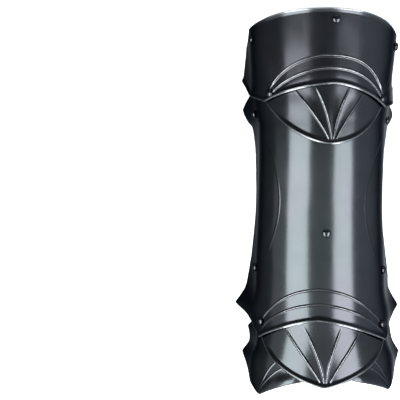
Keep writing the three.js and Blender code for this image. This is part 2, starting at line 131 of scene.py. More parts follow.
# Rows of the plates from the knee side to the ankle side: y at the crest, at the corner line and at
# the wing, the bow of the row over the front, and the sweep of the row along the wall
TOP_ROWS = (
    (184, 176.8, 153, 2, 0.9),
    (166, 152, 148, 2, 0.9),
    (152, 128, 144, 2.1, 0.9),
    (139.7, 109, 138, 2.3, 0.9),
    (128, 102.5, 129, 2, 0.9),
    (113.4, 96.3, 121, 1.45, 0.85),
)
TOP_ARCS = (3, 4)
SHIN_ROWS = (
    (98, 121, 92, 2, 1.2),
    (85, 92, 86.5, 2, 1),
    (73, 77, 79, 2, 1),
    *((y, y, y, 1, 1) for y in (60, 42, 22, 2, -16, -32, -46)),
    (-58, -66, -68, 2, 1),
    (-70, -90, -86, 2, 1),
    (-83, -118.5, -92, 2, 0.9),
    (-97.2, -125.5, -97, 1.9, 0.9),
    (-112.4, -132.5, -103, 1.35, 0.75),
)
SHIN_ARCS = (12, 13)
BOTTOM_ROWS = (
    (-122, -108, -126, 2, 1),
    (-127, -130, -131, 2, 1),
    (-132, -156, -137, 2.6, 0.7),
    (-138, -180, -141, 3, 0.85),
    (-151, -182.3, -146, 2.8, 0.85),
    (-167, -184.5, -151, 1.5, 0.85),
)
BOTTOM_ARCS = (3, 4)

# Petals: y of the upper and lower edges at the crest and at the side, the girth of the side, the bows of
# the two edges, and the share of the flutes' depth
PETAL_COLUMNS = ("top", "top_side", "tip", "tip_side", "side", "top_bow", "tip_bow", "fluted")
UPPER_PETAL = dict(zip(PETAL_COLUMNS, (123, 111, 56.5, 97, 62 / 90, 2, 1.8, 1)))
LOWER_PETAL = dict(zip(PETAL_COLUMNS, (-106, -108, -175, -127, 76 / 90, 2, 1.45, 0.3)))

# Fan lines of a petal from its crest to its side: their share of the side girth at the lower edge and
# at the upper edge, and their bow. Lines 1 and 2 are its ribs.
FAN_LINES = (
    (0, 0, 1.8),
    (0.01, 0.33, 1.8),
    (0.032, 0.65, 1.3),
    (0.25, 0.74, 1.1),
    (0.43, 0.81, 1),
    (0.62, 0.87, 1),
    (0.81, 0.93, 1),
    (1, 1, 1),
)
RIB_LINES = (1, 2)
RIB_RISE = (0.03, 0.12)
RIB_FADE = (0.62, 0.86)

# Rivets: girth and y of each pair, how far the pair is turned round the leg, the outermost and innermost
# layers that it holds, the gap under its heads, and its body
PIVOT_GAP = 0.7
SEAT_GAP = 0.3
TAIL_GAP = 0.8
RIVET_COLUMNS = ("name", "girth", "y", "turn", "outer", "inner", "seat", "body")
RIVET_PAIRS = (
    ("top", 0.9, 159, 0, TOP_LAYER, TOP_LAYER, SEAT_GAP, "knee_plate"),
    ("knee", KNEE_GIRTH, KNEE_Y, 0, TOP_LAYER, SHIN_LAYER, PIVOT_GAP, "shin"),
    ("shin_upper", 1.17, 86.5, 0, SHIN_LAYER, SHIN_LAYER, PIVOT_GAP, "shin"),
    ("shin_lower", 0.99, -65, -0.12, SHIN_LAYER, SHIN_LAYER, SEAT_GAP, "shin"),
    ("ankle", ANKLE_GIRTH, ANKLE_Y, 0, SHIN_LAYER, BOTTOM_LAYER, PIVOT_GAP, "shin"),
)
RIVET_SINGLES = (
    ("top_centre", 0, 174, 0, TOP_LAYER, TOP_LAYER, SEAT_GAP, "knee_plate"),
    ("shin_centre", 0, -28.6, 0, SHIN_LAYER, SHIN_LAYER, SEAT_GAP, "shin"),
)

# Fineness of the grids: rows of a plate, columns on one side of the crest, and steps of a rounded rim
TOP_GRID = (124, 92)
SHIN_GRID = (150, 92)
BOTTOM_GRID = (124, 92)
PETAL_GRID = (90, 74)
RIM_ANGLES = np.radians((22.5, 45, 67.5, 90))
LINE_STEPS = 90
RIVET_SIDES = 40
DOME_STEPS = 14
SPREAD_SAMPLES = 4000
FLOOR_POINTS = 9

# How the grids are packed round a line: the reach of the packing, and how much denser it is there
ROW_PACKING = (0.2, 5)
RIB_PACKING = (0.18, 4)
EDGE_PACKING = (0.09, 5)
CREASE_PACKING_REACH = 0.03
CREASE_PACKING_GAIN = 4

# Relief of the top plate: the spans of the girth, as shares of the way to the pivots, over which its hollows
# and arcs die out, and the folds of its wings, from above each pivot to two ends of girth and y
TOP_HOLLOW_FADE = (0.75, 1.0)
TOP_ARC_SINK = (0.9, 1.0)
TOP_ARC_TAPER = 0.3
RAMP_START = 0.15
LIP_POWER = 1.3
LIP_FADE = (0.5, 0.85)
FOLD_START = KNEE_Y + 3
FOLD_FADE_FROM = KNEE_Y + 12
FOLD_ENDS = ((0.99, 134), (0.85, 137))
FOLD_HALF = 1.6
FOLD_HEIGHT = 0.35

# Relief of the shin plate, of the bottom plate and of the petals, as shares of the way to their corner lines
# or sides
SHIN_ARC_SINK = (0.86, 1.0)
SHIN_ARC_TAPER = 0.35
SHIN_ROLL_FADE = (1.0, 1.2)
CREASE_FULL = (-30, 50)
CREASE_HALF = 1.5
BOTTOM_ARC_RISE = (0.45, 0.7)
BOTTOM_ARC_SINK = (0.9, 1.02)
BOTTOM_ARC_HEIGHT_SHARE = 0.5
BOTTOM_ARC_WIDTH_SHARE = 0.7
BOTTOM_ROLL_RISE = (0.25, 0.45)
BOTTOM_ROLL_FADE = (1.0, 1.3)
BOTTOM_BEAD = 0.07
PETAL_ROLL_FADE = (0.62, 0.82)
RIB_TIP_SHARE = 0.55
RIB_SPREAD = 0.4
FLUTE_RISE = 0.25

# Wear: how far it reaches from edges, arcs and ribs, and its share on the arcs and on the inner face
EDGE_WEAR = 1.2
TOP_ARC_WEAR = 1.8
ARC_WEAR = 0.7
RIB_WEAR = 0.8
SHIN_ARC_RUB = 0.5
BOTTOM_ARC_RUB = 0.15
INNER_WEAR = 0.4

# The unseen and small parts of a rivet
RIVET_SHANK = 2.0
RIVET_TAIL = 3.2
RIVET_TAIL_DEPTH = 1.0
RIVET_RIM = 0.4
RIVET_BEVEL = 0.12
RIVET_SHARP_ANGLE = math.radians(40)

# Patterns of the steel in cycles a metre, and the brush lines' across, along and upwards
DRIFT_SCALE = 13
CLOUD_SCALE = 55
FLECK_SCALE = 700
BRUSH_STRETCH = (900, 22, 900)


class GreaveSizes(PropertyGroup):
    """Sizes of the sheet and of the relief worked into it."""

    sheet: FloatProperty(
        name="Sheet", description="Thickness of the sheet steel",
        default=0.0012, precision=4, unit="LENGTH",
    )
    layer: FloatProperty(
        name="Layer", description="Step from one overlapping plate to the next",
        default=0.0025, precision=4, unit="LENGTH",
    )
    arc_height: FloatProperty(
        name="Arc height", description="Height of the raised arcs",
        default=0.001, precision=4, unit="LENGTH",
    )
    arc_half: FloatProperty(
        name="Arc half width", description="Half of the width of a raised arc",
        default=0.0017, precision=4, unit="LENGTH",
    )
    top_arc_height: FloatProperty(
        name="Top arc height", description="Height of the top plate's bolder arcs",
        default=0.0012, precision=4, unit="LENGTH",
    )
    top_arc_half: FloatProperty(
        name="Top arc half width", description="Half of the width of the top plate's arcs",
        default=0.0016, precision=4, unit="LENGTH",
    )
    ramp: FloatProperty(
        name="Ramp depth", description="Depth of the ramp between the top plate's arcs",
        default=0.0003, precision=4, unit="LENGTH",
    )
    swell: FloatProperty(
        name="Swell height", description="Height of the swell between the top plate's arcs and its edge",
        default=0.00035, precision=5, unit="LENGTH",
    )
    rib_height: FloatProperty(
        name="Rib height", description="Height of the ribs of the petals",
        default=0.0009, precision=4, unit="LENGTH",
    )
    rib_half: FloatProperty(
        name="Rib half width", description="Half of the width of a rib",
        default=0.0013, precision=4, unit="LENGTH",
    )
    flute: FloatProperty(
        name="Flute depth", description="Depth of the hollows between the ribs",
        default=0.0003, precision=4, unit="LENGTH",
    )
    crease_height: FloatProperty(
        name="Crease height", description="Height of the side creases of the shin plate",
        default=0.00025, precision=5, unit="LENGTH",
    )
    roll_height: FloatProperty(
        name="Rolled edge height", description="Rise of the turned lower edges",
        default=0.0011, precision=4, unit="LENGTH",
    )
    roll_width: FloatProperty(
        name="Rolled edge width", description="Width of the groove and bead of a turned edge",
        default=0.005, precision=4, unit="LENGTH",
    )
    bottom_roll_height: FloatProperty(
        name="Bottom edge height", description="Rise of the bottom plate's turned edge",
        default=0.0026, precision=4, unit="LENGTH",
    )
    bottom_roll_width: FloatProperty(
        name="Bottom edge width", description="Width of the bottom plate's turned edge",
        default=0.014, precision=4, unit="LENGTH",
    )
    lip_height: FloatProperty(
        name="Lip height", description="Rise of the knee edge's turned lip",
        default=0.0012, precision=4, unit="LENGTH",
    )
    lip_width: FloatProperty(
        name="Lip width", description="Width of the knee edge's turned lip",
        default=0.0032, precision=4, unit="LENGTH",
    )
    petal_tilt: FloatProperty(
        name="Petal tilt", description="How far a petal's tip stands off",
        default=0.0012, precision=4, unit="LENGTH",
    )
    planish: FloatProperty(
        name="Planishing", description="Depth of the hammer's faint waves in the sheet",
        default=0.00006, precision=5, unit="LENGTH",
    )
    rivet_head: FloatProperty(
        name="Rivet head", description="Radius of a rivet's head",
        default=0.0041, precision=4, unit="LENGTH",
    )
    rivet_dome: FloatProperty(
        name="Rivet dome", description="Height of a rivet's dome over its rim",
        default=0.0023, precision=4, unit="LENGTH",
    )


class GreaveFinish(PropertyGroup):
    """Colours and gloss of the blackened steel."""

    green_black: FloatVectorProperty(
        name="Green black", description="Reflectance of the steel where the blacking runs green",
        default=(0.036, 0.041, 0.0425), size=3, subtype="COLOR",
    )
    violet_black: FloatVectorProperty(
        name="Violet black", description="Reflectance of the steel where the blacking runs violet",
        default=(0.039, 0.0395, 0.0445), size=3, subtype="COLOR",
    )
    worn_steel: FloatVectorProperty(
        name="Worn steel", description="Reflectance of bare steel on rubbed edges and ridges",
        default=(0.2, 0.205, 0.21), size=3, subtype="COLOR",
    )
    inner_black: FloatVectorProperty(
        name="Inner black", description="Reflectance of the dull inner face",
        default=(0.030, 0.029, 0.028), size=3, subtype="COLOR",
    )
    edge_tint: FloatVectorProperty(
        name="Edge tint", description="Reflectance at a grazing angle",
        default=(0.36, 0.36, 0.365), size=3, subtype="COLOR",
    )
    gloss: FloatProperty(
        name="Roughness", description="Mean roughness of the polished outer faces",
        default=0.2, min=0.0, max=1.0, subtype="FACTOR",
    )


class GreaveStage(PropertyGroup):
    """Floor, lights and camera."""

    floor_colour: FloatVectorProperty(
        name="Floor", description="Colour of the plain floor",
        default=(0.6, 0.6, 0.6), size=3, subtype="COLOR",
    )
    left_power: FloatProperty(
        name="Left strip", description="Power of the left strip light", default=47.0, unit="POWER",
    )
    right_power: FloatProperty(
        name="Right strip", description="Power of the right strip light", default=38.0, unit="POWER",
    )
    overhead_power: FloatProperty(
        name="Overhead", description="Power of the faint panel over the shin", default=3.6, unit="POWER",
    )
    fill_power: FloatProperty(
        name="Fill", description="Power of the faint panel at the left side", default=3.2, unit="POWER",
    )
    wash_power: FloatProperty(
        name="Wash", description="Power of the wide light that washes the floor", default=64.0, unit="POWER",
    )
    knee_power: FloatProperty(
        name="Knee fill", description="Power of the panel past the knee end", default=12.0, unit="POWER",
    )
    room_colour: FloatVectorProperty(
        name="Room", description="Dim light of the room round the stage",
        default=(0.45, 0.5, 0.55), size=3, subtype="COLOR",
    )
    knee_room_share: FloatProperty(
        name="Knee room", description="Share of the room's light that comes from past the knee end",
        default=0.25, min=0.0, max=1.0, subtype="FACTOR",
    )
    right_room_gain: FloatProperty(
        name="Right room", description="How much brighter the room is on the right", default=2.8,
    )
    backdrop_colour: FloatVectorProperty(
        name="Backdrop", description="Colour of the pale backdrop behind the stage",
        default=(0.9, 0.9, 0.9), size=3, subtype="COLOR",
    )
    camera_place: FloatVectorProperty(
        name="Camera", description="Place of the camera, which looks straight down",
        default=(-0.12024, 0.00457, 1.24), size=3, subtype="TRANSLATION",
    )
    camera_angle: FloatProperty(
        name="Camera angle", description="Field of view", default=2 * math.atan(1 / 6), unit="ROTATION",
    )


def smooth(stations, values, at):
    """A curve through values at stations: cubic between two stations, with each station's slope taken
    across its two neighbours."""
    ahead = np.minimum(np.arange(len(stations)) + 1, len(stations) - 1)
    behind = np.maximum(np.arange(len(stations)) - 1, 0)
    slopes = (values[ahead] - values[behind]) / (stations[ahead] - stations[behind])
    i = np.clip(np.searchsorted(stations, at, side="right") - 1, 0, len(stations) - 2)
    span = stations[i + 1] - stations[i]
    t = (at - stations[i]) / span
    blend = t * t * (3 - 2 * t)
    start_pull = t * (1 - t) ** 2 * span * slopes[i]
    end_pull = t * t * (1 - t) * span * slopes[i + 1]
    return values[i] * (1 - blend) + values[i + 1] * blend + start_pull - end_pull


def section(column, y):
    """One column of the section table, smoothed along the leg."""
    return smooth(SECTIONS["y"], SECTIONS[column], y)


def step(low, high, at):
    """0 below low, 1 above high, and an S-curve between them."""
    t = np.clip((at - low) / (high - low), 0, 1)
    return t * t * (3 - 2 * t)


def form_point(girth, y, depth):
    """A point of the greave's form: half an ellipse over the shin, round which the girth slides by the
    square of its cosine, then a wall. From the shoulder to the back edge both turn out as a power of the way
    along the sheet. depth moves the point out along the section's normal."""
    girth, y, depth = np.broadcast_arrays(girth, y, depth)
    limb = section("limb", y)
    rise = section("crest", y) - LIMB_HEIGHT
    turn = np.clip(girth, -1, 1) * np.pi / 2
    angle = turn + section("slide", y) / limb * np.cos(turn) ** 2
    across, up = np.sin(angle), np.cos(angle)
    length = np.hypot(rise * across, limb * up)
    wall = LIMB_HEIGHT - np.maximum(0, section("edge", y))
    drop = wall * np.maximum(np.abs(girth) - 1, 0)
    start = FLARE_FROM * QUARTER_LENGTH
    sheet = QUARTER_LENGTH * np.minimum(np.abs(girth), 1) + drop
    out = np.maximum(sheet - start, 0) / (QUARTER_LENGTH + wall - start)
    flare = np.where(girth < 0, -section("left", y), section("right", y)) * out**FLARE_POWER
    x = limb * across + depth * rise * across / length + flare
    z = LIMB_HEIGHT + rise * up + depth * limb * up / length - drop
    return np.stack((x + section("lean", y) + MIDDLE_X, y + MIDDLE_Y, z), axis=-1)


def form_normal(girth, y):
    """The outward normal of the form, from two small steps along the surface."""
    across = form_point(girth + 0.01, y, 0) - form_point(girth - 0.01, y, 0)
    down = form_point(girth, y - 1, 0) - form_point(girth, y + 1, 0)
    normal = np.cross(down, across)
    return normal / np.linalg.norm(normal)


def unrolled(girth):
    """Length of the flat sheet from the crest out to a girth."""
    g = np.abs(girth)
    return QUARTER_LENGTH * np.minimum(g, 1) + LIMB_HEIGHT * np.maximum(g - 1, 0)


def spread(low, high, count, centres, reach, gain):
    """count places from low to high, spaced evenly over a density that swells by gain round each centre."""
    fine = np.linspace(low, high, SPREAD_SAMPLES)
    swell = np.exp(-(((fine[:, None] - np.asarray(centres)) / reach) ** 2)).sum(axis=1)
    total = np.cumsum(1 + gain * swell)
    return np.interp(np.linspace(total[0], total[-1], count), total, fine)


def with_rim(places, half):
    """Adds the places of a half-round rim at both ends. Gives the places, how far each stands past its end,
    and its share of the sheet's half thickness: the sine and cosine of the angle round the rim."""
    past = half * np.sin(RIM_ANGLES)
    share = np.cos(RIM_ANGLES)
    ends = np.full(len(RIM_ANGLES), places[0]), np.full(len(RIM_ANGLES), places[-1])
    inner = np.zeros(len(places))
    return (
        np.concatenate((ends[0], places, ends[1])),
        np.concatenate((-past[::-1], inner, past)),
        np.concatenate((share[::-1], inner + 1, share)),
    )


def distance(girth, y, line):
    """Shortest way over the unrolled sheet from each point to a line of short straight steps. Both sides of
    the crest are alike."""
    along, up = unrolled(girth)[..., None], y[..., None]
    start, way = line[:-1], np.diff(line, axis=0)
    du, dy = along - start[:, 0], up - start[:, 1]
    t = np.clip((du * way[:, 0] + dy * way[:, 1]) / (way**2).sum(axis=1), 0, 1)
    return np.sqrt(((du - t * way[:, 0]) ** 2 + (dy - t * way[:, 1]) ** 2).min(axis=-1))


def ridge(away, half):
    """1 on a line, falling along an S-curve to 0 at half of the ridge's width."""
    return 1 - step(0, half, away)


def rolled_edge(away, height, width, bead=0.2):
    """A turned edge: from the groove the sheet rises along an S-curve to a bead's crest, which is a share of
    the width from the rim, and rolls half of the way back."""
    crest = bead * width
    roll = 1 - 0.5 * np.clip(1 - away / crest, 0, 1) ** 2
    return height * (1 - step(crest, width, away)) * roll


def planished(girth, y, depth):
    """Faint waves of the hammer: a sum of sines across, along and aslant the sheet."""
    u, v = unrolled(girth) * np.sign(girth), y
    waves = (
        np.sin(u / 7.3 + 1.1 * np.sin(v / 19.0))
        + np.sin(v / 11.7 + 0.9 * np.sin(u / 13.0) + 1.7)
        + np.sin((u + v) / 9.1 + 0.4)
        + np.sin((u - 1.7 * v) / 14.3 + 2.6)
    )
    return depth * waves / 2


def plate_grid(rows, corner_at, row_places, column_places):
    """Girth and y over a plate, and y of its rows at the crest. A row bows from the crest to the corner line
    as a power of the way there, and then sweeps along the wall to the wing. Column places run 0 to 1 to the
    corner line, to 2 at the limb and to 3 at the back edge."""
    keys = np.arange(len(rows), dtype=float)
    columns = (smooth(keys, column, row_places)[:, None] for column in np.array(rows, float).T)
    centre, corner_y, wing, bow, sweep = columns
    corner = corner_at(centre)
    place = np.abs(column_places)[None, :]
    front = np.minimum(place, 1) * corner
    shoulder = np.clip(place - 1, 0, 1) * (1 - corner)
    girth = front + shoulder + np.maximum(place - 2, 0)
    arch = np.clip(girth / corner, 0, 1) ** bow
    wall = np.clip((girth - corner) / (2 - corner), 0, 1) ** sweep
    y = centre + (corner_y - centre) * arch + (wing - corner_y) * wall
    return np.where(column_places < 0, -1, 1) * girth, y, centre


def plate_line(rows, corner_at, key, reach=3):
    """One row of a plate as a line on the unrolled sheet, from the crest out to a column place."""
    girth, y, _ = plate_grid(rows, corner_at, np.array([float(key)]), np.linspace(0, reach, LINE_STEPS))
    return np.column_stack((unrolled(girth[0]), y[0]))


def fan_grid(petal, rises, lines):
    """Girth and y over a petal. A fan line's share of the side girth goes from the lower edge to the upper
    edge as a power of the way up, and its y evenly from one edge to the other."""
    keys = np.arange(len(FAN_LINES), dtype=float)
    low, high, bow = (
        np.interp(np.abs(lines), keys, column)[None, :] for column in np.array(FAN_LINES, float).T
    )
    rise = rises[:, None]
    share = low + (high - low) * rise**bow
    foot = petal["tip"] + (petal["tip_side"] - petal["tip"]) * low ** petal["tip_bow"]
    head = petal["top"] + (petal["top_side"] - petal["top"]) * high ** petal["top_bow"]
    girth = np.where(lines < 0, -1, 1) * share * petal["side"]
    return girth, foot + (head - foot) * rise


def fan_line(petal, line):
    """One fan line of a petal as a line on the unrolled sheet."""
    girth, y = fan_grid(petal, np.linspace(0, 1, LINE_STEPS), np.array([float(line)]))
    return np.column_stack((unrolled(girth[:, 0]), y[:, 0]))


def crease_girth(y):
    """The side crease bows in to its waist as the square of the way along the leg."""
    return CREASE_WAIST + (CREASE_END - CREASE_WAIST) * (y / CREASE_REACH) ** 2


def shin_corner(y):
    """The corner line of the shin plate follows the crease, and goes straight past its ends."""
    return crease_girth(np.clip(y, -CREASE_REACH, CREASE_REACH))


def knee_corner(y):
    """The corner line of the top plate runs through the knee pivots, and turns out along an S-curve to the
    corners of the lower edge."""
    return TOP_CORNER + (KNEE_GIRTH - TOP_CORNER) * step(*TOP_CORNER_SPAN, y)


def ankle_corner(y):
    """The corner line of the bottom plate runs straight to its lower corners."""
    return np.full_like(y, BOTTOM_CORNER)


def top_askew(_y, girth):
    """How far the askew top plate is moved round the leg, and along it, which is even with the girth."""
    return 0.0, -TOP_ASKEW * np.clip(girth, -1, 1)


def shin_askew(y, girth):
    """How far the shin plate is moved round and along the leg: S-curves up to its two ends. The turn fades
    from the shoulder to the limb, and the shift along the leg is even with the girth."""
    knee = step(*KNEE_ASKEW_SPAN, y)
    ankle = step(*ANKLE_ASKEW_SPAN, -y)
    turn = ANKLE_TURN * step(*ANKLE_TURN_SPAN, -y) * (1 - step(ANKLE_TURN_FROM, 1, np.abs(girth)))
    return turn, -(KNEE_ASKEW * knee + ANKLE_ASKEW * ankle) * np.clip(girth, -1, 1)


def bottom_askew(_y, girth):
    """How far the bottom plate is moved round and along the leg: even with the girth to its corners, and
    back to nothing on the wings."""
    return 0.0, -BOTTOM_ASKEW * girth * (1 - step(*BOTTOM_ASKEW_FADE, np.abs(girth)))


def all_rivets():
    """The single rivets, and the left and right of each pair, moved with its outer plate."""
    rivets = [dict(zip(RIVET_COLUMNS, rivet)) for rivet in RIVET_SINGLES]
    for pair in RIVET_PAIRS:
        rivet = dict(zip(RIVET_COLUMNS, pair))
        askew = top_askew if rivet["outer"] == TOP_LAYER else shin_askew
        for side, way in (("_left", -1), ("_right", 1)):
            girth = way * rivet["girth"] + rivet["turn"]
            turn, shift = askew(rivet["y"], girth)
            moved = {"name": rivet["name"] + side, "girth": girth + turn, "y": rivet["y"] + shift}
            rivets.append({**rivet, **moved})
    return rivets


def new_piece(name, vertices, faces, attributes, material):
    """A smooth mesh object from arrays of points in millimetres, faces and point attributes."""
    used, order = np.unique(faces, return_inverse=True)
    mesh = bpy.data.meshes.new(name)
    mesh.from_pydata((vertices[used] * MM).tolist(), [], order.reshape(faces.shape).tolist())
    mesh.polygons.foreach_set("use_smooth", np.ones(len(mesh.polygons), bool))
    for key, values in attributes.items():
        layer = mesh.attributes.new(key, "FLOAT", "POINT")
        layer.data.foreach_set("value", np.asarray(values, np.float32)[used])
    mesh.materials.append(material)
    piece = bpy.data.objects.new(name, mesh)
    bpy.context.scene.collection.objects.link(piece)
    return piece


def sheet_piece(name, girth, y, depth, half, wear, material):
    """A closed sheet: an outer and an inner grid that stand half of the thickness from the middle of the
    sheet, and meet along its rim, where that half is nothing."""
    outer = form_point(girth, y, depth + half)
    inner = form_point(girth, y, depth - half)
    rows, columns = girth.shape
    front = np.arange(rows * columns).reshape(rows, columns)
    back = front + rows * columns
    for edge in (np.s_[0, :], np.s_[-1, :], np.s_[:, 0], np.s_[:, -1]):
        back[edge] = front[edge]

    def quads(grid):
        return np.stack((grid[:-1, :-1], grid[1:, :-1], grid[1:, 1:], grid[:-1, 1:]), -1).reshape(-1, 4)

    faces = np.concatenate((quads(front), quads(back)[:, ::-1]))
    vertices = np.concatenate((outer.reshape(-1, 3), inner.reshape(-1, 3)))
    attributes = {
        "wear": np.concatenate((wear.ravel(), INNER_WEAR * wear.ravel())),
        "inside": np.repeat((0.0, 1.0), rows * columns),
    }
    return new_piece(name, vertices, faces, attributes, material)


def lathe(profile, sides):
    """Points and triangles of a closed turned shape: a profile of radius and height, from pole to pole,
    carried round the z axis."""
    turn = np.linspace(0, 2 * np.pi, sides, endpoint=False)
    ring = profile[1:-1]
    x = ring[:, :1] * np.cos(turn)
    y = ring[:, :1] * np.sin(turn)
    z = np.broadcast_to(ring[:, 1:], x.shape)
    poles = np.array(((0, 0, profile[0, 1]), (0, 0, profile[-1, 1])))
    points = np.concatenate((np.stack((x, y, z), -1).reshape(-1, 3), poles))
    grid = np.arange(len(ring) * sides).reshape(len(ring), sides)
    after = np.roll(grid, -1, axis=1)
    walls = np.stack((grid[:-1], after[:-1], after[1:], grid[1:]), -1).reshape(-1, 4)
    low = np.full(sides, len(points) - 2)
    high = np.full(sides, len(points) - 1)
    caps = np.concatenate((
        np.stack((after[0], grid[0], low), -1),
        np.stack((grid[-1], after[-1], high), -1),
    ))
    return points, np.concatenate((walls[:, :3], walls[:, (0, 2, 3)], caps))


def seated(points, rivet, sizes):
    """Points about the z axis moved to a rivet's seat on the outer face, with z along the form's normal."""
    axis = form_normal(rivet["girth"], rivet["y"])
    turn = np.array(Vector((0, 0, 1)).rotation_difference(Vector(axis)).to_matrix())
    seat = form_point(rivet["girth"], rivet["y"], rivet["outer"] * sizes.layer / MM)
    return points @ turn.T + seat


def socket_value(made, tree, socket, source):
    """Links a source socket to an input, or sets the input's own value."""
    if isinstance(source, bpy.types.NodeSocket):
        tree.links.new(source, made.inputs[socket])
    else:
        made.inputs[socket].default_value = source


def node(tree, kind, inputs, **settings):
    """A shader node with its settings and inputs."""
    made = tree.nodes.new(kind)
    for key, value in settings.items():
        setattr(made, key, value)
    for socket, source in inputs.items():
        socket_value(made, tree, socket, source)
    return made


def blend_colours(tree, factor, first, second):
    """The colour between two colours. Sockets 6 and 7 of the node are its two colours, and 2 its result."""
    made = node(tree, "ShaderNodeMix", {0: factor, 6: first, 7: second}, data_type="RGBA")
    return made.outputs[2]


def ranged(tree, value, low, high, start, end):
    """A value taken from one range to another, and held at its ends."""
    inputs = {"Value": value, "From Min": low, "From Max": high, "To Min": start, "To Max": end}
    return node(tree, "ShaderNodeMapRange", inputs).outputs["Result"]


def maths(tree, operation, first, second):
    """One sum of two values."""
    return node(tree, "ShaderNodeMath", {0: first, 1: second}, operation=operation).outputs[0]


def noise(tree, place, scale, detail, stretch=(1, 1, 1)):
    """Noise on a piece's own coordinates, in cycles a metre, stretched along its axes."""
    spot = node(tree, "ShaderNodeMapping", {"Vector": place, "Scale": stretch}).outputs["Vector"]
    inputs = {"Vector": spot, "Scale": scale, "Detail": detail}
    return node(tree, "ShaderNodeTexNoise", inputs).outputs["Fac"]


def rgba(colour):
    """A colour with full opacity."""
    return (*colour, 1.0)


def steel(name, finish, gloss_gain):
    """Blackened steel: its hue drifts between green and violet, brush lines run along the leg, rubbed edges
    and ridges show bare metal in flecks, and the inner face is dull."""
    material = bpy.data.materials.new(name)
    material.use_nodes = True
    tree = material.node_tree
    shader = tree.nodes["Principled BSDF"]
    place = node(tree, "ShaderNodeTexCoord", {}).outputs["Object"]
    wear = node(tree, "ShaderNodeAttribute", {}, attribute_name="wear").outputs["Fac"]
    inside = node(tree, "ShaderNodeAttribute", {}, attribute_name="inside").outputs["Fac"]
    drift = ranged(tree, noise(tree, place, DRIFT_SCALE, 2), 0.35, 0.65, 0, 1)
    clouds = noise(tree, place, CLOUD_SCALE, 5)
    brush = noise(tree, place, 1, 3, stretch=BRUSH_STRETCH)
    flecks = noise(tree, place, FLECK_SCALE, 4)

    blacking = blend_colours(tree, drift, rgba(finish.green_black), rgba(finish.violet_black))
    shade = ranged(tree, clouds, 0.3, 0.7, 0.95, 1.05)
    shaded = node(tree, "ShaderNodeVectorMath", {0: blacking, 1: (1, 1, 1)}, operation="SCALE")
    socket_value(shaded, tree, "Scale", shade)
    rubbed = maths(tree, "MULTIPLY", wear, ranged(tree, flecks, 0.35, 0.6, 0.35, 1))
    outer = blend_colours(tree, rubbed, shaded.outputs["Vector"], rgba(finish.worn_steel))
    colour = blend_colours(tree, inside, outer, rgba(finish.inner_black))

    polish = maths(tree, "ADD", ranged(tree, clouds, 0.3, 0.7, -0.015, 0.015), finish.gloss * gloss_gain)
    brushed = maths(tree, "ADD", polish, ranged(tree, brush, 0.3, 0.7, -0.012, 0.012))
    dull = maths(tree, "ADD", brushed, maths(tree, "MULTIPLY", inside, 0.25))

    grain = maths(tree, "ADD", maths(tree, "MULTIPLY", brush, 0.6), maths(tree, "MULTIPLY", flecks, 0.25))
    bump = node(tree, "ShaderNodeBump", {"Strength": 0.12, "Distance": 0.0001, "Height": grain})

    shader.inputs["Metallic"].default_value = 1.0
    shader.inputs["Specular Tint"].default_value = rgba(finish.edge_tint)
    tree.links.new(colour, shader.inputs["Base Color"])
    tree.links.new(dull, shader.inputs["Roughness"])
    tree.links.new(bump.outputs["Normal"], shader.inputs["Normal"])
    return material


def shared_material(name, finish, gloss_gain):
    """The material of that name, made when it is first asked for."""
    return bpy.data.materials.get(name) or steel(name, finish, gloss_gain)


def black_steel(finish):
    """The plates' finish."""
    return shared_material("brushed_black_steel", finish, 1.0)


def rivet_steel(finish):
    """The rivets' finish: the same blacking, polished brighter."""
    return shared_material("polished_rivet_steel", finish, 0.5)


def finish_piece(piece, body, node_name):
    """A piece stands for a node, which it hides, and rides on its body."""
    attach(piece, body)
    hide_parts(node_name)


def plate_places(grid, keys, arcs, half, crease_gain):
    """Row places packed round the arcs and the two edges, column places packed round the corner line, and
    their rims."""
    rows = spread(0, keys - 1, grid[0], (0, *arcs, keys - 1), *ROW_PACKING)
    columns = spread(0, 3 - half / LIMB_HEIGHT, grid[1], (1,), CREASE_PACKING_REACH, crease_gain)
    columns = np.concatenate((-columns[:0:-1], columns))
    return with_rim(rows, half), with_rim(columns, half)


def plate_piece(name, rows, corner_at, arcs, grid, layer, relief, askew, context, crease_gain=0.0):
    """A plate from its table of rows. relief gives the lift and the wear over the grid, and askew moves the
    plate on the leg."""
    sizes = context.scene.greave_sizes
    half = sizes.sheet / MM / 2
    row_rim, column_rim = plate_places(grid, len(rows), arcs, half, crease_gain)
    girth, y, centre = plate_grid(rows, corner_at, row_rim[0], column_rim[0])
    lift, wear = relief(girth, y, row_rim[0][:, None], sizes)
    depth = layer * sizes.layer / MM + lift - half
    turn, shift = askew(centre, girth)
    y = y + shift - row_rim[1][:, None]
    girth = girth + turn + column_rim[1][None, :] / LIMB_HEIGHT
    thick = half * row_rim[2][:, None] * column_rim[2][None, :]
    return sheet_piece(name, girth, y, depth, thick, wear, black_steel(context.scene.greave_finish))


def petal_piece(name, petal, layer, context):
    """A petal from its fan lines, with its ribs, the flutes between them and its rolled lower edge."""
    sizes = context.scene.greave_sizes
    half = sizes.sheet / MM / 2
    last = len(FAN_LINES) - 1
    lines = spread(0, last, PETAL_GRID[1], RIB_LINES, *RIB_PACKING)
    rises = spread(0, 1, PETAL_GRID[0], (0,), *EDGE_PACKING)[::-1]
    rise_rim = with_rim(rises, half)
    line_rim = with_rim(np.concatenate((-lines[:0:-1], lines)), half)
    girth, y = fan_grid(petal, rise_rim[0], line_rim[0])
    lift, wear = petal_relief(girth, y, rise_rim[0][:, None], line_rim[0][None, :], petal, sizes)
    depth = layer * sizes.layer / MM + lift - half
    girth = girth + line_rim[1][None, :] / QUARTER_LENGTH
    y = y - rise_rim[1][:, None]
    thick = half * rise_rim[2][:, None] * line_rim[2][None, :]
    return sheet_piece(name, girth, y, depth, thick, wear, black_steel(context.scene.greave_finish))


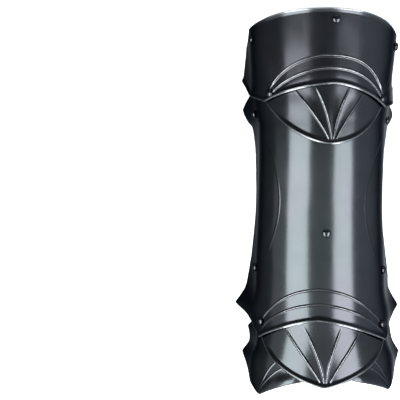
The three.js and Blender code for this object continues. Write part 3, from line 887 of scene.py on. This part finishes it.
def rubbed(away, reach):
    """Wear that fades from a line over its reach."""
    return 1 - step(0, reach, away)


def top_relief(girth, y, row, sizes):
    """Lip along the knee edge, two arcs that sink into the pivot rivets, a ramp that rises from under the
    outer arc to the inner one, a swell under that, two short creases on each wing, and a rolled lower
    edge."""
    share = np.abs(girth) / KNEE_GIRTH
    inward = 1 - step(*TOP_HOLLOW_FADE, share)
    knee_edge, low_edge = (
        distance(girth, y, plate_line(TOP_ROWS, knee_corner, key)) for key in (0, len(TOP_ROWS) - 1)
    )
    outer_arc, inner_arc = (
        distance(girth, y, plate_line(TOP_ROWS, knee_corner, key, 1)) for key in TOP_ARCS
    )
    arc_height = sizes.top_arc_height / MM * (1 - step(*TOP_ARC_SINK, share))
    arc_half = sizes.top_arc_half / MM * (1 - TOP_ARC_TAPER * np.minimum(share, 1))
    arcs = arc_height * (ridge(outer_arc, arc_half) + ridge(inner_arc, arc_half))
    between = np.clip(row - TOP_ARCS[0], 0, 1)
    under = np.clip(row - TOP_ARCS[1], 0, 1)
    ramp = -sizes.ramp / MM * inward * (1 - between) * step(0, RAMP_START, between)
    swell = 4 * sizes.swell / MM * inward * under * (1 - under)
    lip = sizes.lip_height / MM * np.clip(1 - knee_edge / (sizes.lip_width / MM), 0, 1) ** LIP_POWER
    lip = lip * (1 - step(*LIP_FADE, np.abs(girth)))
    roll = rolled_edge(low_edge, sizes.roll_height / MM, sizes.roll_width / MM)
    pivot = (unrolled(KNEE_GIRTH), FOLD_START)
    folds = [
        ridge(distance(girth, y, np.array((pivot, (unrolled(end_girth), end_y)))), FOLD_HALF)
        * (1 - step(FOLD_FADE_FROM, end_y, y))
        for end_girth, end_y in FOLD_ENDS
    ]
    waves = planished(girth, y, sizes.planish / MM)
    lift = lip + roll + arcs + ramp + swell + FOLD_HEIGHT * sum(folds) + waves
    crests = rubbed(np.minimum(outer_arc, inner_arc), TOP_ARC_WEAR) * (share < 1)
    return lift, np.maximum(rubbed(np.minimum(knee_edge, low_edge), EDGE_WEAR), crests)


def shin_relief(girth, y, _row, sizes):
    """Two arcs that sink into the pivot rivets, the bowed side creases, and a rolled lower edge."""
    share = np.abs(girth) / shin_corner(y)
    arcs = [distance(girth, y, plate_line(SHIN_ROWS, shin_corner, key, 1)) for key in SHIN_ARCS]
    low_edge = distance(girth, y, plate_line(SHIN_ROWS, shin_corner, len(SHIN_ROWS) - 1))
    along = np.linspace(-CREASE_REACH, CREASE_TOP, LINE_STEPS)
    crease = distance(girth, y, np.column_stack((unrolled(crease_girth(along)), along)))
    arc_height = sizes.arc_height / MM * (1 - step(*SHIN_ARC_SINK, share))
    arc_half = sizes.arc_half / MM * (1 - SHIN_ARC_TAPER * np.minimum(share, 1))
    raised = arc_height * sum(ridge(arc, arc_half) for arc in arcs)
    fade = step(-CREASE_REACH, CREASE_FULL[0], y) * (1 - step(CREASE_FULL[1], CREASE_TOP, y))
    folded = sizes.crease_height / MM * fade * ridge(crease, CREASE_HALF)
    roll = rolled_edge(low_edge, sizes.roll_height / MM, sizes.roll_width / MM)
    roll = roll * (1 - step(*SHIN_ROLL_FADE, share))
    lift = raised + folded + roll + planished(girth, y, sizes.planish / MM)
    crests = rubbed(np.minimum(*arcs), ARC_WEAR) * (share < 1)
    return lift, np.maximum(rubbed(low_edge, EDGE_WEAR), SHIN_ARC_RUB * crests)


def bottom_relief(girth, y, _row, sizes):
    """Two arcs that rise beside the petal and run into the lower corners, and a rolled lower edge."""
    share = np.abs(girth) / BOTTOM_CORNER
    arcs = [distance(girth, y, plate_line(BOTTOM_ROWS, ankle_corner, key, 1)) for key in BOTTOM_ARCS]
    low_edge = distance(girth, y, plate_line(BOTTOM_ROWS, ankle_corner, len(BOTTOM_ROWS) - 1))
    shown = step(*BOTTOM_ARC_RISE, share) * (1 - step(*BOTTOM_ARC_SINK, share))
    arc_height = BOTTOM_ARC_HEIGHT_SHARE * sizes.arc_height / MM * shown
    arc_half = BOTTOM_ARC_WIDTH_SHARE * sizes.arc_half / MM
    raised = arc_height * sum(ridge(arc, arc_half) for arc in arcs)
    roll = rolled_edge(low_edge, sizes.bottom_roll_height / MM, sizes.bottom_roll_width / MM, BOTTOM_BEAD)
    roll = roll * (1 - step(*BOTTOM_ROLL_FADE, share)) * step(*BOTTOM_ROLL_RISE, share)
    lift = raised + roll + planished(girth, y, sizes.planish / MM)
    crests = rubbed(np.minimum(*arcs), ARC_WEAR) * (share > BOTTOM_ARC_RISE[0]) * (share < 1)
    return lift, np.maximum(rubbed(low_edge, EDGE_WEAR), BOTTOM_ARC_RUB * crests)


def petal_relief(girth, y, rise, line, petal, sizes):
    """Ribs that fan out from the tip and die out under the plate above, hollow flutes between them, a
    lower edge that is rolled except under that plate, and a tip that stands off."""
    ribs = [distance(girth, y, fan_line(petal, rib)) for rib in RIB_LINES]
    girths, feet = fan_grid(petal, np.array([0.0]), np.linspace(0, len(FAN_LINES) - 1, LINE_STEPS))
    low_edge = distance(girth, y, np.column_stack((unrolled(girths[0]), feet[0])))
    fade = step(*RIB_RISE, rise) * (1 - step(*RIB_FADE, rise))
    spread_out = RIB_TIP_SHARE + (1 - RIB_TIP_SHARE) * step(0, RIB_SPREAD, rise)
    rib_half = sizes.rib_half / MM * spread_out
    raised = sizes.rib_height / MM * fade * np.maximum(*(ridge(rib, rib_half) for rib in ribs))
    inner, outer = np.minimum(np.abs(line), 1), np.clip(np.abs(line) - 1, 0, 1)
    hollow = np.where(inner < 1, np.cos(np.pi / 2 * inner) ** 2, np.sin(np.pi * outer) ** 2)
    flute = -sizes.flute / MM * petal["fluted"] * fade * hollow * step(0, FLUTE_RISE, rise)
    share = np.abs(girth) / petal["side"]
    roll = rolled_edge(low_edge, sizes.roll_height / MM, sizes.roll_width / MM)
    roll = roll * (1 - step(*PETAL_ROLL_FADE, share))
    lift = raised + flute + roll + planished(girth, y, sizes.planish / MM)
    lift = lift + sizes.petal_tilt / MM * (1 - rise) ** 2 * (1 - share)
    crests = rubbed(np.minimum(*ribs), RIB_WEAR) * fade
    return lift, np.maximum(rubbed(low_edge, EDGE_WEAR), crests)


def rivet_profile(rivet, sizes):
    """Radius and height from the inner end to the top of the head: a flat tail, the shank, a short bevelled
    rim and a dome that is a quarter of an ellipse."""
    head, dome = sizes.rivet_head / MM, sizes.rivet_dome / MM
    stack = (rivet["outer"] - rivet["inner"]) * sizes.layer / MM + sizes.sheet / MM
    under, inner = rivet["seat"], -stack - TAIL_GAP
    turn = np.linspace(0, np.pi / 2, DOME_STEPS)
    crown = np.column_stack((head * np.cos(turn), under + RIVET_RIM + dome * np.sin(turn)))
    crown[-1, 0] = 0
    foot = np.array((
        (0, inner - RIVET_TAIL_DEPTH),
        (RIVET_TAIL - RIVET_BEVEL, inner - RIVET_TAIL_DEPTH),
        (RIVET_TAIL, inner - RIVET_TAIL_DEPTH + RIVET_BEVEL),
        (RIVET_TAIL, inner),
        (RIVET_SHANK, inner),
        (RIVET_SHANK, under),
        (head - RIVET_BEVEL, under),
        (head, under + RIVET_BEVEL),
    ))
    return np.concatenate((foot, crown))


class GREAVE_OT_top_plate(Operator):
    """Make the top plate, which turns on the knee rivets"""

    bl_idname = "greave.top_plate"
    bl_label = "Top Plate"

    def execute(self, context):
        piece = plate_piece(
            "forged_top_plate", TOP_ROWS, knee_corner, TOP_ARCS, TOP_GRID, TOP_LAYER,
            top_relief, top_askew, context,
        )
        finish_piece(piece, "knee_plate", "top_plate")
        return {"FINISHED"}


class GREAVE_OT_shin_plate(Operator):
    """Make the shin plate, which carries the others"""

    bl_idname = "greave.shin_plate"
    bl_label = "Shin Plate"

    def execute(self, context):
        piece = plate_piece(
            "forged_shin_plate", SHIN_ROWS, shin_corner, SHIN_ARCS, SHIN_GRID, SHIN_LAYER,
            shin_relief, shin_askew, context, crease_gain=CREASE_PACKING_GAIN,
        )
        finish_piece(piece, "shin", "shin_plate")
        return {"FINISHED"}


class GREAVE_OT_bottom_plate(Operator):
    """Make the bottom plate, which turns on the ankle rivets"""

    bl_idname = "greave.bottom_plate"
    bl_label = "Bottom Plate"

    def execute(self, context):
        piece = plate_piece(
            "forged_bottom_plate", BOTTOM_ROWS, ankle_corner, BOTTOM_ARCS, BOTTOM_GRID,
            BOTTOM_LAYER, bottom_relief, bottom_askew, context,
        )
        finish_piece(piece, "ankle_plate", "bottom_plate")
        return {"FINISHED"}


class GREAVE_OT_petals(Operator):
    """Make the two ribbed petals"""

    bl_idname = "greave.petals"
    bl_label = "Petals"

    def execute(self, context):
        upper = petal_piece("forged_upper_petal", UPPER_PETAL, UPPER_PETAL_LAYER, context)
        finish_piece(upper, "knee_petal", "upper_petal")
        lower = petal_piece("forged_lower_petal", LOWER_PETAL, LOWER_PETAL_LAYER, context)
        finish_piece(lower, "ankle_petal", "lower_petal")
        return {"FINISHED"}


class GREAVE_OT_rivets(Operator):
    """Make the domed rivets"""

    bl_idname = "greave.rivets"
    bl_label = "Rivets"

    def execute(self, context):
        sizes = context.scene.greave_sizes
        material = rivet_steel(context.scene.greave_finish)
        for rivet in all_rivets():
            points, faces = lathe(rivet_profile(rivet, sizes), RIVET_SIDES)
            none = np.zeros(len(points))
            piece = new_piece(
                "domed_rivet_" + rivet["name"], seated(points, rivet, sizes), faces,
                {"wear": none, "inside": none}, material,
            )
            piece.data.set_sharp_from_angle(angle=RIVET_SHARP_ANGLE)
            finish_piece(piece, rivet["body"], "rivet_" + rivet["name"])
        return {"FINISHED"}


# Strip lights round the leg: angle from straight up, distance from the leg's axis, width, end over the knee
# plates, and colour. They all run along the leg to far past its ankle edge.
STRIP_COLUMNS = ("name", "angle", "distance", "width", "knee_end", "colour")
STRIPS = (
    ("left_strip", -45, 0.9, 0.655, 0.16, (0.97, 1.0, 1.0)),
    ("right_strip", 37.3, 0.9, 0.575, 0.12, (0.97, 0.97, 1.0)),
    ("overhead", -3, 0.95, 0.7, 0.05, (0.9, 0.97, 1.0)),
    ("left_fill", -80, 0.9, 0.55, 0.1, (0.93, 0.98, 1.0)),
)
STRIP_ANKLE_END = -1.6
STRIP_AXIS_HEIGHT = 0.06

# Wide panels: place, tilt towards the ankle end, size, and whether the steel mirrors them
PANEL_COLUMNS = ("name", "place", "tilt", "size", "mirrored")
PANELS = (
    ("wash", (0, 0, 2.2), 0, (3.0, 3.0), False),
    ("knee_fill", (0, 1.9, 0.9), -66, (2.0, 1.2), True),
)
FLOOR_SIZE = 8.0

# How far along and across the room's light changes, as parts of a direction
KNEE_ROOM_SPAN = (-0.2, 0.6)
RIGHT_ROOM_SPAN = (0.2, 0.9)


class GREAVE_OT_stage(Operator):
    """Make the camera, the strip lights, the floor and the room"""

    bl_idname = "greave.stage"
    bl_label = "Stage"

    def execute(self, context):
        stage = context.scene.greave_stage
        self.camera(context, stage)
        self.lights(context, stage)
        self.floor(context, stage)
        self.room(context, stage)
        context.scene.view_settings.view_transform = "Standard"
        return {"FINISHED"}

    def camera(self, context, stage):
        """A camera that looks straight down on the front of the shin, with the knee end up."""
        data = bpy.data.cameras.new("camera")
        data.sensor_fit = "HORIZONTAL"
        data.angle = stage.camera_angle
        camera = bpy.data.objects.new("camera", data)
        camera.location = stage.camera_place
        context.scene.collection.objects.link(camera)
        context.scene.camera = camera

    def lights(self, context, stage):
        """Long soft strips along the leg, each turned to face its axis, a wide wash that whitens the floor,
        and a panel past the knee end."""
        powers = {
            "left_strip": stage.left_power,
            "right_strip": stage.right_power,
            "overhead": stage.overhead_power,
            "left_fill": stage.fill_power,
            "wash": stage.wash_power,
            "knee_fill": stage.knee_power,
        }
        for strip in STRIPS:
            strip = dict(zip(STRIP_COLUMNS, strip))
            angle = math.radians(strip["angle"])
            length = strip["knee_end"] - STRIP_ANKLE_END
            place = (
                strip["distance"] * math.sin(angle),
                (strip["knee_end"] + STRIP_ANKLE_END) / 2,
                STRIP_AXIS_HEIGHT + strip["distance"] * math.cos(angle),
            )
            light = self.panel(context, strip["name"], (strip["width"], length), place, (0, angle, 0))
            light.data.energy = powers[strip["name"]]
            light.data.color = strip["colour"]
        for panel in PANELS:
            panel = dict(zip(PANEL_COLUMNS, panel))
            turn = (math.radians(panel["tilt"]), 0, 0)
            light = self.panel(context, panel["name"], panel["size"], panel["place"], turn)
            light.data.energy = powers[panel["name"]]
            light.visible_glossy = panel["mirrored"]

    def panel(self, context, name, size, place, turn):
        """A rectangular light that the camera doesn't see."""
        data = bpy.data.lights.new(name, "AREA")
        data.shape = "RECTANGLE"
        data.size, data.size_y = size
        light = bpy.data.objects.new(name, data)
        light.location = place
        light.rotation_euler = turn
        light.visible_camera = False
        context.scene.collection.objects.link(light)
        return light

    def floor(self, context, stage):
        """A plain pale floor: a fine plane under the back edges."""
        across = np.linspace(-FLOOR_SIZE / 2, FLOOR_SIZE / 2, FLOOR_POINTS)
        x, y = np.meshgrid(across, across)
        points = np.stack((x, y, np.zeros_like(x)), -1).reshape(-1, 3) / MM
        grid = np.arange(x.size).reshape(x.shape)
        corners = (grid[:-1, :-1], grid[:-1, 1:], grid[1:, 1:], grid[1:, :-1])
        faces = np.stack(corners, -1).reshape(-1, 4)
        material = bpy.data.materials.new("pale_floor")
        material.use_nodes = True
        shader = material.node_tree.nodes["Principled BSDF"]
        shader.inputs["Base Color"].default_value = rgba(stage.floor_colour)
        shader.inputs["Roughness"].default_value = 0.9
        shader.inputs["Specular IOR Level"].default_value = 0.1
        floor = new_piece("floor", points, faces, {}, material)
        floor.visible_glossy = False

    def room(self, context, stage):
        """A dim room for the steel to mirror, and a pale backdrop where the camera sees past the floor."""
        world = bpy.data.worlds.new("room")
        world.use_nodes = True
        tree = world.node_tree
        dim = tree.nodes["Background"]
        dim.inputs["Color"].default_value = rgba(stage.room_colour)
        way = node(tree, "ShaderNodeTexCoord", {}).outputs["Generated"]
        parts = node(tree, "ShaderNodeSeparateXYZ", {"Vector": way})
        knee_side = ranged(tree, parts.outputs["Y"], *KNEE_ROOM_SPAN, 1.0, stage.knee_room_share)
        right_side = ranged(tree, parts.outputs["X"], *RIGHT_ROOM_SPAN, 1.0, stage.right_room_gain)
        tree.links.new(maths(tree, "MULTIPLY", knee_side, right_side), dim.inputs["Strength"])
        pale = node(tree, "ShaderNodeBackground", {"Color": rgba(stage.backdrop_colour)})
        seen = node(tree, "ShaderNodeLightPath", {}).outputs["Is Camera Ray"]
        mixed = node(tree, "ShaderNodeMixShader", {0: seen, 1: dim.outputs[0], 2: pale.outputs[0]})
        tree.links.new(mixed.outputs[0], tree.nodes["World Output"].inputs["Surface"])
        context.scene.world = world


PIECE_OPERATORS = (
    GREAVE_OT_top_plate,
    GREAVE_OT_shin_plate,
    GREAVE_OT_bottom_plate,
    GREAVE_OT_petals,
    GREAVE_OT_rivets,
    GREAVE_OT_stage,
)


class GREAVE_PT_sidebar(Panel):
    """Lists the greave's operators and settings"""

    bl_idname = "GREAVE_PT_sidebar"
    bl_label = "Greave"
    bl_space_type = "VIEW_3D"
    bl_region_type = "UI"
    bl_category = "Greave"

    def draw(self, context):
        for operator in PIECE_OPERATORS:
            self.layout.operator(operator.bl_idname)
        scene = context.scene
        for group in (scene.greave_sizes, scene.greave_finish, scene.greave_stage):
            box = self.layout.box()
            for key in group.__annotations__:
                box.prop(group, key)


CLASSES = (GreaveSizes, GreaveFinish, GreaveStage, *PIECE_OPERATORS, GREAVE_PT_sidebar)


def register():
    """Registers the classes and hangs the settings on the scene."""
    for cls in CLASSES:
        bpy.utils.register_class(cls)
    bpy.types.Scene.greave_sizes = PointerProperty(type=GreaveSizes)
    bpy.types.Scene.greave_finish = PointerProperty(type=GreaveFinish)
    bpy.types.Scene.greave_stage = PointerProperty(type=GreaveStage)


def unregister():
    """Takes the settings and the classes away again."""
    del bpy.types.Scene.greave_stage
    del bpy.types.Scene.greave_finish
    del bpy.types.Scene.greave_sizes
    for cls in reversed(CLASSES):
        bpy.utils.unregister_class(cls)


def main():
    """Builds the pieces and the stage."""
    register()
    bpy.ops.greave.top_plate()
    bpy.ops.greave.shin_plate()
    bpy.ops.greave.bottom_plate()
    bpy.ops.greave.petals()
    bpy.ops.greave.rivets()
    bpy.ops.greave.stage()


if __name__ == "__main__":
    main()
